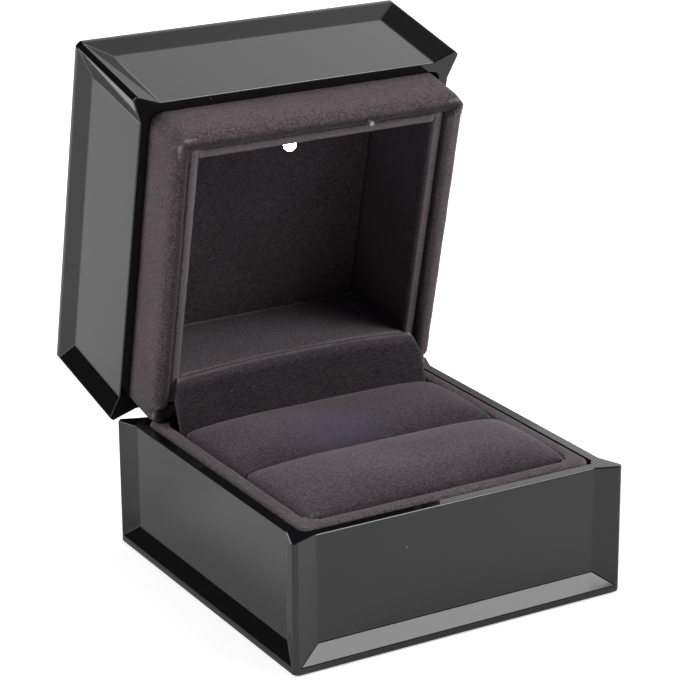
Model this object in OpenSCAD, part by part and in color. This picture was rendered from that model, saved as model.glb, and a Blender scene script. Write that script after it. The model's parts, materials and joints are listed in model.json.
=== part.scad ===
// Ring display box, open at its snap hinge. Millimetres, +Z up, +Y towards the hinge.
// The origin is the middle of the face that the box stands on.
// Lid pieces are drawn where they lie with the box shut, and opened() turns them back.

/* [Shells] */
// Outer width of both lacquered shells, left to right
shell_width = 75; // [68:1:95]
// Outer depth of both lacquered shells, front to back
shell_depth = 75; // [68:1:95]
// Height of the base shell's top edge above the table
base_height = 27.4; // [25:0.2:36]
// Depth of the lid shell, from its open edge to its top panel
lid_height = 26.9; // [24:0.2:36]
// How far each side panel lies behind the upright corners
panel_recess = 1.9; // [1:0.1:2.6]
// Width of the flare beside a panel, measured from the corner
flare_width = 6; // [3:0.5:9]
// Height of the flare under a panel, its straight band included
flare_height = 5; // [3:0.5:8]
// Height of the straight band at a shell's closed edge
edge_band = 1.3; // [0.6:0.1:2]
// Facet along each upright corner
corner_facet = 0.9; // [0.3:0.1:1.8]
// Wall thickness behind a side panel
shell_wall = 2.4; // [1.6:0.1:3]
// Thickness of the base's floor and of the lid's top
shell_floor = 2.4; // [1.6:0.1:3.5]
// Corner radius of the room inside a shell
cavity_radius = 1.5; // [0.5:0.1:2]
// Thickness of the felt pad under the base
felt_thickness = 1.2; // [0.8:0.1:1.8]
// How far the felt stands out of its recess
felt_proud = 0.3; // [0.2:0.1:0.6]
// Width of lacquer left round the felt
felt_margin = 6; // [4:0.5:12]

/* [Frame and collar] */
// Gap between a shell and the suede inside it
lining_gap = 0.3; // [0.2:0.05:0.6]
// Width of the base frame's suede rim
frame_wall = 3.2; // [2.6:0.1:4]
// Height of the frame's rim above the base shell
frame_rise = 0.4; // [0:0.1:0.8]
// Rounding of the frame's upper edges
frame_rounding = 1; // [0.4:0.1:1.2]
// Plan radius of the frame's and collar's corners
lining_corner = 2.4; // [1.6:0.1:4]
// Width of the lid's padded collar
collar_wall = 3.2; // [2.8:0.1:4]
// How far the collar stands out of the lid shell
collar_rise = 11.4; // [10:0.2:13]
// How far the collar reaches up inside the lid shell
collar_tuck = 4; // [2:0.5:8]
// Thickness of the collar's suede and its padding
suede_skin = 0.8; // [0.6:0.05:1]
// Gap of a glued joint
glue_gap = 0.1; // [0.05:0.05:0.15]
// How much shorter the collar's hinge side is, to roll over the frame
rear_relief = 1.3; // [1.2:0.1:2]
// Gap between the collar and the frame with the lid shut
closing_gap = 0.3; // [0.2:0.05:0.6]

/* [Lid lining] */
// Groove between the collar and the lining cards
groove_gap = 0.3; // [0.2:0.05:0.6]
// Thickness of a suede wrapped lining card
card_thickness = 1.9; // [1.5:0.1:2.4]
// How far the cards' lip lies behind the collar's crown
lip_drop = 1.9; // [1.5:0.1:2.6]
// Depth of the lid's hollow behind the lip
hollow_depth = 22.8; // [20:0.2:24]
// How much shorter the hinge side's card is at the lip
rear_card_trim = 3; // [2.6:0.2:6]
// Height of the floor pad's fold over the hinge side's card
fold_height = 3.3; // [2.6:0.1:4]
// Height of the floor pad at the back of the hollow
pad_back_height = 0.6; // [0.4:0.1:1.5]
// Distance from the lip out to the fold's axis
fold_lead = 0.8; // [0.8:0.1:1.2]

/* [Ring rolls] */
// Height of the rolls' crown above the base shell
roll_crown = 4.2; // [3:0.1:4.4]
// Height of the rounded top of a roll
crown_height = 4.2; // [3.6:0.1:6]
// Full thickness of a roll
roll_thickness = 15; // [12:0.2:17]
// Slot between the rolls, where the ring's band goes
ring_slot = 0.3; // [0.2:0.05:1]
// Gap between a roll and the frame
roll_gap = 0.4; // [0.3:0.1:1]
// Room behind the rear roll for the hinge and its flap
pocket_depth = 7.7; // [7.5:0.1:10]
// How far a roll's sides draw in towards its foot
roll_tuck = 0.6; // [0:0.1:1.5]
// Thickness of the card under the rolls
board_thickness = 1.4; // [1:0.1:2]
// How far the card stays inside the rolls' outline
board_margin = 0.5; // [0.3:0.1:2]
// How far the foam stays inside the rolls' outline
foam_margin = 1.5; // [0.8:0.1:3]

/* [Hinge] */
// Height of the hinge axis above the base shell
hinge_height = 3.1; // [3:0.1:3.6]
// How far the lid stands open
open_angle = 77; // [60:1:78]
// Length of the hinge along its pin
hinge_length = 30; // [24:1:40]
// Length of the lid leaf's knuckle
lid_knuckle_length = 15.8; // [12:0.2:18]
// Radius of the knuckles
knuckle_radius = 1.3; // [1.2:0.05:1.4]
// Radius of the hinge pin
pin_radius = 0.6; // [0.5:0.05:0.7]
// Running clearance round the pin and end play of the knuckles
pin_clearance = 0.05; // [0.02:0.01:0.08]
// Thickness of the hinge leaves
leaf_thickness = 0.8; // [0.6:0.05:0.8]
// Length of the base leaf below the axis
base_leaf_length = 13; // [10:0.5:16]
// Length of the lid leaf above the axis
lid_leaf_length = 12; // [9:0.5:16]
// Distance of the cam's flats from the axis
cam_flat = 1.15; // [1:0.05:1.2]
// Thickness of the snap spring
snap_thickness = 0.4; // [0.3:0.05:0.5]
// Width of the snap spring
snap_width = 8; // [5:0.5:11]
// Length of the snap spring below the axis
snap_length = 12; // [8:0.5:12.5]
// Distance of the leaf screws from the middle of the hinge
screw_offset = 11; // [10:0.5:11.5]
// Radius of a leaf screw's head
screw_head_radius = 1.1; // [0.9:0.05:1.3]
// Radius of a leaf screw's shank
screw_radius = 0.6; // [0.4:0.05:0.7]
// Distance of a leaf screw from its leaf's end
screw_margin = 2.7; // [2:0.1:3.5]
// How deep a base leaf's screw goes into the frame
screw_bite = 2.4; // [1.6:0.1:2.8]

/* [Flap] */
// Length of the flap from its fold to its lower edge
flap_length = 10.5; // [8:0.5:11]
// Thickness of the flap
flap_thickness = 1; // [0.8:0.1:1.1]
// Lean of the flap towards the front with the lid open
flap_open_lean = 27; // [24:0.5:28]

/* [Light] */
// Width of the light's housing
light_width = 30; // [28.5:0.5:40]
// Wall of the housing round its room
light_wall = 0.8; // [0.6:0.1:1]
// Thickness of the housing's outer face
light_face = 0.5; // [0.4:0.05:0.5]
// Distance from the lip up to the housing
light_setback = 0.6; // [0.4:0.1:1]
// Radius of a button cell
cell_radius = 6.25; // [5.5:0.05:6.4]
// Thickness of a button cell
cell_thickness = 1.5; // [1.2:0.05:1.55]
// Sideways place of the lens
lens_x = -5; // [-9:0.5:-3]
// Distance from the lip up to the middle of the lens
lens_setback = 3; // [2.8:0.1:3.4]
// Radius of the lens
lens_radius = 1.6; // [1.2:0.1:1.6]
// How far the lens stands out of the lining
lens_out = 4.3; // [1.8:0.1:4.6]
// Sideways place of the switch
switch_x = 10; // [9.5:0.5:11]
// Radius of the switch plunger
plunger_radius = 0.5; // [0.4:0.05:0.55]
// How far the plunger stands out of the collar, and its travel
plunger_travel = 1.2; // [0.8:0.1:1.4]
// Length of the plunger's return spring
spring_length = 4; // [3:0.2:5]

/* [Hidden] */
$fn = 48;
eps = 1; // how far a cut runs past a face
half_w = shell_width / 2;
half_d = shell_depth / 2;
cavity_inset = panel_recess + shell_wall;
lining_inset = cavity_inset + lining_gap;
frame_inset = lining_inset + frame_wall; // the frame's inner faces
collar_inset = lining_inset + collar_wall; // the collar's inner faces
core_inset = lining_inset + suede_skin + glue_gap; // the core's outer faces
core_thickness = collar_wall - 2 * (suede_skin + glue_gap);
card_inset = collar_inset + groove_gap; // the cards' outer faces
hollow_inset = card_inset + card_thickness; // the walls of the lid's hollow

shell_foot = felt_proud;
floor_z = shell_foot + shell_floor; // top of the base's floor
frame_top = base_height + frame_rise;
crown_z = frame_top + closing_gap; // the collar's crown, lid shut
lip_z = crown_z + lip_drop;
lid_edge_z = crown_z + collar_rise; // the lid shell's open edge, lid shut
lid_top_z = lid_edge_z + lid_height;
ceiling_z = lid_top_z - shell_floor;
hollow_back_z = lip_z + hollow_depth;
back_card_top = hollow_back_z + card_thickness;

hinge_z = base_height + hinge_height;
rolling_radius = hinge_z - crown_z; // the collar's hinge side rolls over the frame at this radius
hinge_y = half_d - lining_inset - rolling_radius;
frame_face_y = half_d - frame_inset; // rear inner face of the frame
core_face_y = half_d - core_inset - core_thickness; // rear inner face of the core
leaf_side = hinge_length / 2;
base_screw_z = hinge_z - base_leaf_length + screw_margin;
lid_screw_z = hinge_z + lid_leaf_length - screw_margin;
base_screw_length = leaf_thickness + screw_bite;
lid_screw_length = leaf_thickness + core_thickness;

// Where a point of the shut lid lies with the lid open
function opened_y(y, z) = hinge_y + (y - hinge_y) * cos(open_angle) + (z - hinge_z) * sin(open_angle);
function opened_z(y, z) = hinge_z - (y - hinge_y) * sin(open_angle) + (z - hinge_z) * cos(open_angle);

fold_y = half_d - hollow_inset - fold_height;
fold_z = lip_z - fold_lead;
flap_width = shell_width - 2 * (frame_inset + roll_gap);
lip_half = half_w - hollow_inset; // half the width of the lid's hollow

// Rolls: a crowned top over drawn-in sides, rounded off towards both ends
roll_half = half_w - frame_inset - roll_gap;
roll_front = -half_d + frame_inset + roll_gap;
roll_back = half_d - frame_inset - pocket_depth;
roll_middle = (roll_front + roll_back) / 2;
roll_reach = (roll_back - roll_front - ring_slot) / 4; // half a roll's depth
roll_top = base_height + roll_crown;
roll_foot = roll_top - roll_thickness;
equator_z = roll_top - crown_height;
roll_stations = 26;
roll_arc = 18;
end_fullness = 0.985; // how much of the end's rounding the solid keeps
crown_power = 6; // the higher, the flatter the crown along the roll
crown_root = 1.6; // the higher, the steeper the crown's ends
crown_swell = 0.9; // the lower, the fuller the crown's section
plan_power = 40; // the higher, the squarer the roll in plan
plan_root = 4; // the higher, the tighter the roll's corners in plan
board_bottom = roll_foot - glue_gap - board_thickness;

// Light: in the lid's front wall, between the collar's skin and the front card
light_outer = core_inset; // inset of the housing's outer face
light_inner = card_inset - glue_gap;
light_foot = lip_z + light_setback;
room_floor = light_foot + light_wall;
cell_gap = 0.15; // between a cell and what it lies beside
cell_spacing = 0.9; // between the two cells, which lie side by side
cell_x = cell_radius + cell_spacing / 2;
contact_gap = 0.02; // between a contact and what it touches
contact_width = 1.2;
strip_overhang = 1; // of the contact strip past the middles of the cells
post_height = 1.5; // of the contacts between the board and the cells
board_height = 7;
diode_width = 1.6;
diode_height = 1;
cell_z = room_floor + cell_gap + board_height + post_height + cell_radius;
strip_thickness = 0.18;
room_top = cell_z + cell_radius + strip_thickness + 2 * contact_gap;
light_top = room_top + light_wall;
cell_room = cell_thickness + cell_gap;
board_depth = 0.55; // thickness of the light's circuit board
diode_depth = 0.55; // how far the diode stands up from the board
lens_root = 0.4; // how far the lens's foot reaches in behind the cover
cover_inset = light_outer + light_face + cell_room; // the cover's outer face
lens_z = lip_z + lens_setback;
plunger_inset = light_outer + light_face + cell_room / 2;
plunger_head = 0.75; // radius of the plunger's head
head_height = 0.8;
boss_radius = 0.9;
boss_hole = 0.4;
boss_drop = 1.45; // from the room's top to the upper boss's middle
boss_lift = 1.1; // from the board to the lower boss's middle
boss_places = [room_top - boss_drop, room_floor + board_height + cell_gap + boss_lift];
head_z = room_floor + glue_gap / 2;
spring_foot = head_z + head_height;
spring_top = spring_foot + spring_length;

lacquer = [0.03, 0.03, 0.035];
suede = [0.36, 0.31, 0.33];
card = [0.55, 0.52, 0.48];
foam = [0.2, 0.2, 0.21];
steel = [0.72, 0.73, 0.75];
plastic = [0.9, 0.9, 0.88];
circuit_green = [0.1, 0.35, 0.2];
diode_yellow = [0.95, 0.9, 0.6];
lens_clear = [0.95, 0.97, 1];
contact_brass = [0.8, 0.65, 0.3];

// Turns what is drawn on the shut lid back to where it stands open
module opened() {
    translate([0, hinge_y, hinge_z])
        rotate([-open_angle, 0, 0])
            translate([0, -hinge_y, -hinge_z]) children();
}

module rounded_rect(x, y, r) {
    square([x - 2 * r, y], center = true);
    square([x, y - 2 * r], center = true);
    for (sx = [-1, 1], sy = [-1, 1]) {
        translate([sx * (x / 2 - r), sy * (y / 2 - r)]) circle(r);
    }
}

// Extrudes a profile drawn as (inset, height) along X
module along_x(length) {
    rotate([90, 0, 90]) linear_extrude(length, center = true) children();
}

// A lacquered case standing on its closed side, with four tray-shaped sides
module case_shell(height) {
    difference() {
        linear_extrude(height) polygon([
            for (turn = [0:3]) each corner_points(turn)
        ]);
        for (turn = [0:3]) {
            across = turn % 2 == 0 ? shell_width : shell_depth;
            away = turn % 2 == 0 ? half_d : half_w;
            rotate([0, 0, 90 * turn]) translate([0, -away, 0]) panel_cut(across, height);
        }
        translate([0, 0, shell_floor]) linear_extrude(height)
            rounded_rect(shell_width - 2 * cavity_inset, shell_depth - 2 * cavity_inset,
                         cavity_radius);
    }
}

// The two ends of one corner's facet, counted round from the front right
function corner_points(turn) =
    turn == 0 ? [[half_w - corner_facet, -half_d], [half_w, -half_d + corner_facet]] :
    turn == 1 ? [[half_w, half_d - corner_facet], [half_w - corner_facet, half_d]] :
    turn == 2 ? [[-half_w + corner_facet, half_d], [-half_w, half_d - corner_facet]] :
                [[-half_w, -half_d + corner_facet], [-half_w + corner_facet, -half_d]];

// What is cut from a side, its panel flat and its three flares sloping out
module panel_cut(across, height) {
    outer = across / 2 - corner_facet;
    inner = across / 2 - flare_width;
    intersection() {
        linear_extrude(height + eps) polygon([
            [-outer, -eps], [outer, -eps], [outer, 0], [inner, panel_recess],
            [-inner, panel_recess], [-outer, 0]
        ]);
        along_x(across) polygon([
            [-eps, edge_band], [0, edge_band], [panel_recess, flare_height],
            [panel_recess, height + eps], [-eps, height + eps]
        ]);
    }
}

// One side of a band, its profile mitred at both ends
module mitred_side(across, away, reach, height) {
    translate([0, -away, 0]) intersection() {
        along_x(across) children();
        linear_extrude(height) polygon([
            [-across / 2, 0], [across / 2, 0], [across / 2 - reach, reach],
            [-across / 2 + reach, reach]
        ]);
    }
}

module base_shell() {
    color(lacquer) difference() {
        translate([0, 0, shell_foot]) case_shell(base_height - shell_foot);
        translate([0, 0, -eps]) linear_extrude(eps + felt_thickness)
            rounded_rect(shell_width - 2 * felt_margin, shell_depth - 2 * felt_margin,
                         lining_corner);
    }
}

module base_felt_pad() {
    color(foam) linear_extrude(felt_thickness)
        rounded_rect(shell_width - 2 * (felt_margin + glue_gap),
                     shell_depth - 2 * (felt_margin + glue_gap), lining_corner);
}

module frame_profile() {
    r = frame_rounding;
    translate([0, floor_z]) square([frame_wall, frame_top - r - floor_z]);
    translate([r, floor_z]) square([frame_wall - 2 * r, frame_top - floor_z]);
    for (side = [r, frame_wall - r]) {
        translate([side, frame_top - r]) circle(r);
    }
}

module base_frame() {
    span_x = shell_width - 2 * lining_inset;
    span_y = shell_depth - 2 * lining_inset;
    color(suede) difference() {
        intersection() {
            linear_extrude(frame_top) rounded_rect(span_x, span_y, lining_corner);
            union() for (turn = [0:3]) {
                across = turn % 2 == 0 ? span_x : span_y;
                away = turn % 2 == 0 ? span_y / 2 : span_x / 2;
                rotate([0, 0, 90 * turn])
                    mitred_side(across, away, frame_wall, frame_top) frame_profile();
            }
        }
        base_screw_holes();
    }
}

module riser_foam() {
    side = roll_half - foam_margin;
    color(foam) translate([-side, roll_front + foam_margin, floor_z])
        cube([2 * side, roll_back - roll_front - 2 * foam_margin, board_bottom - floor_z]);
}

module roll_board() {
    side = roll_half - board_margin;
    color(card) translate([-side, roll_front + board_margin, board_bottom])
        cube([2 * side, roll_back - roll_front - 2 * board_margin, board_thickness]);
}

// How much of the crown and of the plan depth is left, u from -1 to 1 along the roll
function crown_left(u) = pow(1 - pow(abs(u * end_fullness), crown_power), 1 / crown_root);
function plan_left(u) = pow(1 - pow(abs(u * end_fullness), plan_power), 1 / plan_root);

// The roll's outline at u, from its rear foot over the crown to its front foot
function roll_ring(u) = let (
        reach = roll_reach * plan_left(u),
        crown = crown_height * crown_left(u)
    ) concat(
        [[u * roll_half, -reach + roll_tuck, roll_foot]],
        [for (i = [0:roll_arc]) let (a = 180 * i / roll_arc)
            [u * roll_half, -reach * cos(a), equator_z + crown * pow(sin(a), crown_swell)]],
        [[u * roll_half, reach - roll_tuck, roll_foot]]
    );

module ring_roll(middle) {
    rings = [for (i = [0:roll_stations]) roll_ring(sin(90 * (2 * i / roll_stations - 1)))];
    count = roll_arc + 3;
    sides = [for (i = [0:roll_stations - 1], j = [0:count - 1]) let (
            a = i * count + j, b = i * count + (j + 1) % count
        ) each [[a, b, b + count], [a, b + count, a + count]]];
    last = roll_stations * count;
    caps = [for (j = [1:count - 2]) each [[0, j + 1, j], [last, last + j, last + j + 1]]];
    translate([0, middle, 0]) polyhedron([for (ring = rings) each ring], concat(sides, caps));
}

module front_roll() {
    color(suede) ring_roll(roll_front + roll_reach);
}

module rear_roll() {
    color(suede) ring_roll(roll_back - roll_reach);
}

// A cylinder along X through the hinge axis
module on_axis(radius, length, x = 0) {
    translate([x, hinge_y, hinge_z]) rotate([0, 90, 0])
        cylinder(r = radius, h = length, center = true);
}

// Runs along Y from a leaf's front face into what it is screwed to
module screw_shape(x, y, z, head, shank, length) {
    translate([x, y, z]) rotate([-90, 0, 0]) {
        cylinder(r = head, h = leaf_thickness / 2);
        cylinder(r = shank, h = length);
    }
}

module base_screw_holes() {
    for (side = [-1, 1]) {
        screw_shape(side * screw_offset, frame_face_y - leaf_thickness, base_screw_z,
                    screw_head_radius + pin_clearance, screw_radius + pin_clearance,
                    base_screw_length + glue_gap);
    }
}

module lid_screw_holes() {
    for (side = [-1, 1]) {
        screw_shape(side * screw_offset, core_face_y - leaf_thickness, lid_screw_z,
                    screw_head_radius + pin_clearance, screw_radius + pin_clearance,
                    lid_screw_length + glue_gap);
    }
}

module base_leaf_screws() {
    color(steel) for (side = [-1, 1]) {
        screw_shape(side * screw_offset, frame_face_y - leaf_thickness, base_screw_z,
                    screw_head_radius, screw_radius, base_screw_length);
    }
}

module lid_leaf_screws() {
    color(steel) opened() for (side = [-1, 1]) {
        screw_shape(side * screw_offset, core_face_y - leaf_thickness, lid_screw_z,
                    screw_head_radius, screw_radius, lid_screw_length);
    }
}

module hinge_base_leaf() {
    knuckle = (hinge_length - lid_knuckle_length) / 2 - pin_clearance;
    gap = lid_knuckle_length / 2 + pin_clearance;
    color(steel) difference() {
        union() {
            difference() {
                translate([-leaf_side, frame_face_y - leaf_thickness, hinge_z - base_leaf_length])
                    cube([hinge_length, leaf_thickness, base_leaf_length]);
                translate([-gap, frame_face_y - leaf_thickness - eps,
                           hinge_z - knuckle_radius - closing_gap])
                    cube([2 * gap, leaf_thickness + 2 * eps, 2 * knuckle_radius]);
            }
            for (side = [-1, 1]) {
                on_axis(knuckle_radius, knuckle, side * (leaf_side - knuckle / 2));
            }
        }
        on_axis(pin_radius + pin_clearance, hinge_length + 2 * eps);
        base_screw_holes();
    }
}

module hinge_pin() {
    color(steel) on_axis(pin_radius, hinge_length);
}

module hinge_snap_spring() {
    face = frame_face_y - leaf_thickness;
    color(steel) translate([-snap_width / 2, face - snap_thickness, hinge_z - snap_length])
        cube([snap_width, snap_thickness, snap_length + glue_gap]);
}

// A flat of the cam, its outward normal at an angle in the YZ plane
module cam_cut(angle) {
    translate([0, hinge_y, hinge_z]) rotate([angle, 0, 0])
        translate([-lid_knuckle_length, cam_flat, -knuckle_radius])
            cube([2 * lid_knuckle_length, knuckle_radius, 2 * knuckle_radius]);
}

module hinge_lid_leaf() {
    shoulder = hinge_z + knuckle_radius + closing_gap;
    color(steel) opened() difference() {
        union() {
            translate([-leaf_side, core_face_y - leaf_thickness, shoulder])
                cube([hinge_length, leaf_thickness, hinge_z + lid_leaf_length - shoulder]);
            translate([-lid_knuckle_length / 2, core_face_y - leaf_thickness, hinge_z])
                cube([lid_knuckle_length, leaf_thickness, shoulder - hinge_z]);
            difference() {
                on_axis(knuckle_radius, lid_knuckle_length);
                cam_cut(180);
                cam_cut(180 + open_angle);
            }
        }
        on_axis(pin_radius + pin_clearance, hinge_length);
        lid_screw_holes();
    }
}

module hinge_flap() {
    color(suede)
        translate([0, opened_y(fold_y, fold_z), opened_z(fold_y, fold_z)])
            rotate([-flap_open_lean, 0, 0]) {
                translate([-flap_width / 2, -flap_thickness / 2, -flap_length])
                    cube([flap_width, flap_thickness, flap_length]);
                rotate([0, 90, 0])
                    cylinder(d = flap_thickness, h = flap_width, center = true);
            }
}

module lid_shell() {
    color(lacquer) opened()
        translate([0, 0, lid_top_z]) mirror([0, 0, 1]) case_shell(lid_height);
}

// The collar's section: two skins joined by a round crown, open where the core goes in
module collar_profile(relief) {
    r = collar_wall / 2;
    foot = crown_z + relief;
    top = lid_edge_z + collar_tuck;
    difference() {
        union() {
            translate([r, foot + r]) circle(r);
            translate([0, foot + r]) square([collar_wall, top - foot - r]);
        }
        translate([suede_skin, foot + r + glue_gap])
            square([collar_wall - 2 * suede_skin, top]);
    }
}

// All four sides of a band whose hinge side stands back, given its profile's module
module collar_band(core) {
    span_x = shell_width - 2 * lining_inset;
    span_y = shell_depth - 2 * lining_inset;
    intersection() {
        linear_extrude(lid_top_z) rounded_rect(span_x, span_y, lining_corner);
        union() for (turn = [0:3]) {
            relief = turn == 2 ? rear_relief : 0;
            across = turn % 2 == 0 ? span_x : span_y;
            away = turn % 2 == 0 ? span_y / 2 : span_x / 2;
            rotate([0, 0, 90 * turn])
                mitred_side(across, away, collar_wall, lid_top_z) {
                    if (core) core_profile(relief);
                    else collar_profile(relief);
                }
        }
    }
}

module core_profile(relief) {
    foot = crown_z + relief + collar_wall / 2 + 2 * glue_gap;
    translate([suede_skin + glue_gap, foot])
        square([core_thickness, ceiling_z - glue_gap - foot]);
}

// What the hinge side and the ends beside it lose, so that they roll over the frame
module rolling_cut() {
    along_x(shell_width) difference() {
        translate([hinge_y, crown_z - eps])
            square([rolling_radius + eps, rolling_radius + eps]);
        translate([hinge_y, hinge_z]) circle(rolling_radius);
    }
}

// Room for the hinge in the collar's hinge side, leaving its outer skin
module hinge_room() {
    side = leaf_side + roll_gap;
    inner = half_d - collar_inset - eps;
    translate([-side, inner, 0])
        cube([2 * side, half_d - core_inset + glue_gap / 2 - inner,
              hinge_z + knuckle_radius + closing_gap]);
    translate([-side, inner, 0])
        cube([2 * side, core_face_y - inner, hinge_z + lid_leaf_length + glue_gap]);
}

// Room for the light's housing in the collar's front side
module light_room() {
    side = light_width / 2 + glue_gap;
    translate([-side, -half_d + core_inset - glue_gap / 2, light_foot - glue_gap])
        cube([2 * side, collar_wall, light_top + 2 * glue_gap - light_foot]);
    translate([switch_x, -half_d + plunger_inset, 0])
        cylinder(r = plunger_radius + pin_clearance, h = light_foot);
}

module lid_collar() {
    color(suede) opened() difference() {
        collar_band(false);
        rolling_cut();
        hinge_room();
        light_room();
    }
}

module collar_core() {
    color(card) opened() difference() {
        collar_band(true);
        hinge_room();
        light_room();
        lid_screw_holes();
    }
}

// A lining card drawn as (thickness, height): its lip is a full round
module card_profile(foot) {
    r = card_thickness / 2;
    translate([r, foot + r]) circle(r);
    translate([0, foot + r]) square([card_thickness, back_card_top - foot - r]);
}

module side_card(side) {
    length = shell_depth - 2 * card_inset;
    color(suede) opened() rotate([0, 0, side * 90]) translate([0, -half_w + card_inset, 0])
        along_x(length) card_profile(lip_z);
}

module liner_left_card() {
    side_card(-1);
}

module liner_right_card() {
    side_card(1);
}

module liner_front_card() {
    color(suede) opened() difference() {
        translate([0, -half_d + card_inset, 0])
            along_x(2 * lip_half - 2 * glue_gap) card_profile(lip_z);
        translate([lens_x, -half_d + hollow_inset + eps, lens_z]) rotate([90, 0, 0])
            cylinder(r = lens_radius + glue_gap, h = card_thickness + 2 * eps);
    }
}

module liner_rear_card() {
    color(suede) opened() translate([0, half_d - hollow_inset, 0])
        along_x(2 * lip_half - 2 * glue_gap) card_profile(lip_z + rear_card_trim);
}

module liner_back_card() {
    side = half_w - hollow_inset - glue_gap;
    deep = half_d - hollow_inset - glue_gap;
    color(suede) opened() translate([-side, -deep, hollow_back_z])
        cube([2 * side, 2 * deep, card_thickness]);
}

module floor_pad() {
    wall = half_d - hollow_inset - glue_gap;
    back = hollow_back_z - glue_gap;
    color(suede) opened() along_x(2 * (lip_half - closing_gap)) polygon([
        [wall, lip_z], [wall, back], [wall + glue_gap - pad_back_height, back],
        [fold_y - flap_thickness / 4, lip_z + flap_thickness], [fold_y, lip_z]
    ]);
}

module lid_spacer_foam() {
    foot = back_card_top + glue_gap;
    side = half_w - hollow_inset;
    deep = half_d - hollow_inset;
    color(foam) opened() translate([-side, -deep, foot])
        cube([2 * side, 2 * deep, ceiling_z - glue_gap - foot]);
}

// A block in the light's housing, given by its range of insets, in X and in Z
module light_block(insets, x, z) {
    translate([x[0], -half_d + insets[0], z[0]])
        cube([x[1] - x[0], insets[1] - insets[0], z[1] - z[0]]);
}

// A round shape in the housing, its axis through the wall
module light_round(insets, x, z, radius) {
    translate([x, -half_d + insets[0], z]) rotate([-90, 0, 0])
        cylinder(r = radius, h = insets[1] - insets[0]);
}

module light_housing() {
    side = light_width / 2;
    room = side - light_wall;
    back = light_outer + light_face;
    color(plastic) opened() difference() {
        union() {
            difference() {
                light_block([light_outer, cover_inset], [-side, side], [light_foot, light_top]);
                light_block([back, cover_inset + eps], [-room, room], [room_floor, room_top]);
            }
            light_block([light_outer, cover_inset],
                        [switch_x - 2 * plunger_head, switch_x + 2 * plunger_head],
                        [spring_top, spring_top + light_wall]);
            for (z = boss_places) light_round([light_outer, cover_inset], 0, z, boss_radius);
        }
        for (z = boss_places) light_round([back, cover_inset + eps], 0, z, boss_hole + pin_clearance);
        translate([switch_x, -half_d + plunger_inset, light_foot - eps])
            cylinder(r = plunger_radius + pin_clearance, h = light_wall + 2 * eps);
    }
}

module light_cover() {
    side = light_width / 2;
    color(plastic) opened() difference() {
        light_block([cover_inset, light_inner], [-side, side], [light_foot, light_top]);
        light_round([cover_inset - eps, light_inner + eps], lens_x, lens_z, lens_radius + pin_clearance);
        for (z = boss_places) {
            light_round([cover_inset - eps, light_inner + eps], 0, z,
                        boss_radius - pin_clearance);
        }
    }
}

module light_board() {
    back = light_outer + light_face;
    room = light_width / 2 - light_wall - cell_gap;
    color(circuit_green) opened()
        light_block([back, back + board_depth],
                    [-room, switch_x - 2 * plunger_head - cell_gap],
                    [room_floor + cell_gap, room_floor + cell_gap + board_height]);
}

module light_diode() {
    back = light_outer + light_face + board_depth;
    color(diode_yellow) opened()
        light_block([back, back + diode_depth],
                    [lens_x - diode_width / 2, lens_x + diode_width / 2],
                    [lens_z - diode_height / 2, lens_z + diode_height / 2]);
}

module light_lens() {
    dome = hollow_inset + lens_out - lens_radius;
    foot = cover_inset - lens_root;
    color(lens_clear) opened() {
        light_round([foot, dome], lens_x, lens_z, lens_radius);
        intersection() {
            translate([lens_x, -half_d + dome, lens_z]) sphere(lens_radius);
            light_round([foot, dome + lens_radius], lens_x, lens_z, lens_radius);
        }
    }
}

module button_cells() {
    back = light_outer + light_face + cell_gap / 2;
    color(steel) opened() for (side = [-1, 1]) {
        light_round([back, back + cell_thickness], side * cell_x, cell_z, cell_radius);
    }
}

module battery_contacts() {
    back = light_outer + light_face;
    top = room_top - contact_gap;
    cell_foot = cell_z - cell_radius;
    color(contact_brass) opened() {
        light_block([back + cell_gap, back + cell_room - cell_gap],
                    [-cell_x - strip_overhang, cell_x + strip_overhang], [top - strip_thickness, top]);
        for (side = [-1, 1]) {
            light_block([back + cell_gap, back + cell_room - cell_gap],
                        [side * cell_x - contact_width / 2, side * cell_x + contact_width / 2],
                        [cell_foot - post_height + contact_gap, cell_foot - contact_gap]);
        }
    }
}

module cover_screws() {
    color(steel) opened() for (z = boss_places) {
        light_round([light_outer + light_face + cell_gap, light_inner], 0, z, boss_hole);
        light_round([cover_inset, light_inner], 0, z, boss_radius - 3 * pin_clearance);
    }
}

module switch_plunger() {
    color(plastic) opened() translate([switch_x, -half_d + plunger_inset, 0]) {
        translate([0, 0, crown_z - plunger_travel])
            cylinder(r = plunger_radius, h = head_z + head_height - crown_z + plunger_travel);
        translate([0, 0, head_z]) cylinder(r = plunger_head, h = head_height);
    }
}

module switch_spring() {
    color(steel) opened() translate([switch_x, -half_d + plunger_inset, spring_foot])
        difference() {
            cylinder(r = plunger_head - pin_clearance, h = spring_length);
            translate([0, 0, -eps]) cylinder(r = plunger_radius, h = spring_length + 2 * eps);
        }
}

base_shell();
base_felt_pad();
base_frame();
riser_foam();
roll_board();
front_roll();
rear_roll();
hinge_base_leaf();
hinge_pin();
hinge_snap_spring();
base_leaf_screws();
hinge_lid_leaf();
lid_leaf_screws();
hinge_flap();
lid_shell();
lid_collar();
collar_core();
liner_left_card();
liner_right_card();
liner_front_card();
liner_rear_card();
liner_back_card();
floor_pad();
lid_spacer_foam();
light_housing();
light_cover();
light_board();
light_diode();
light_lens();
button_cells();
battery_contacts();
cover_screws();
switch_plunger();
switch_spring();
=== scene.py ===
import json
import math
import bpy
import numpy as np
from mathutils import Matrix, Vector, noise


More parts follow.
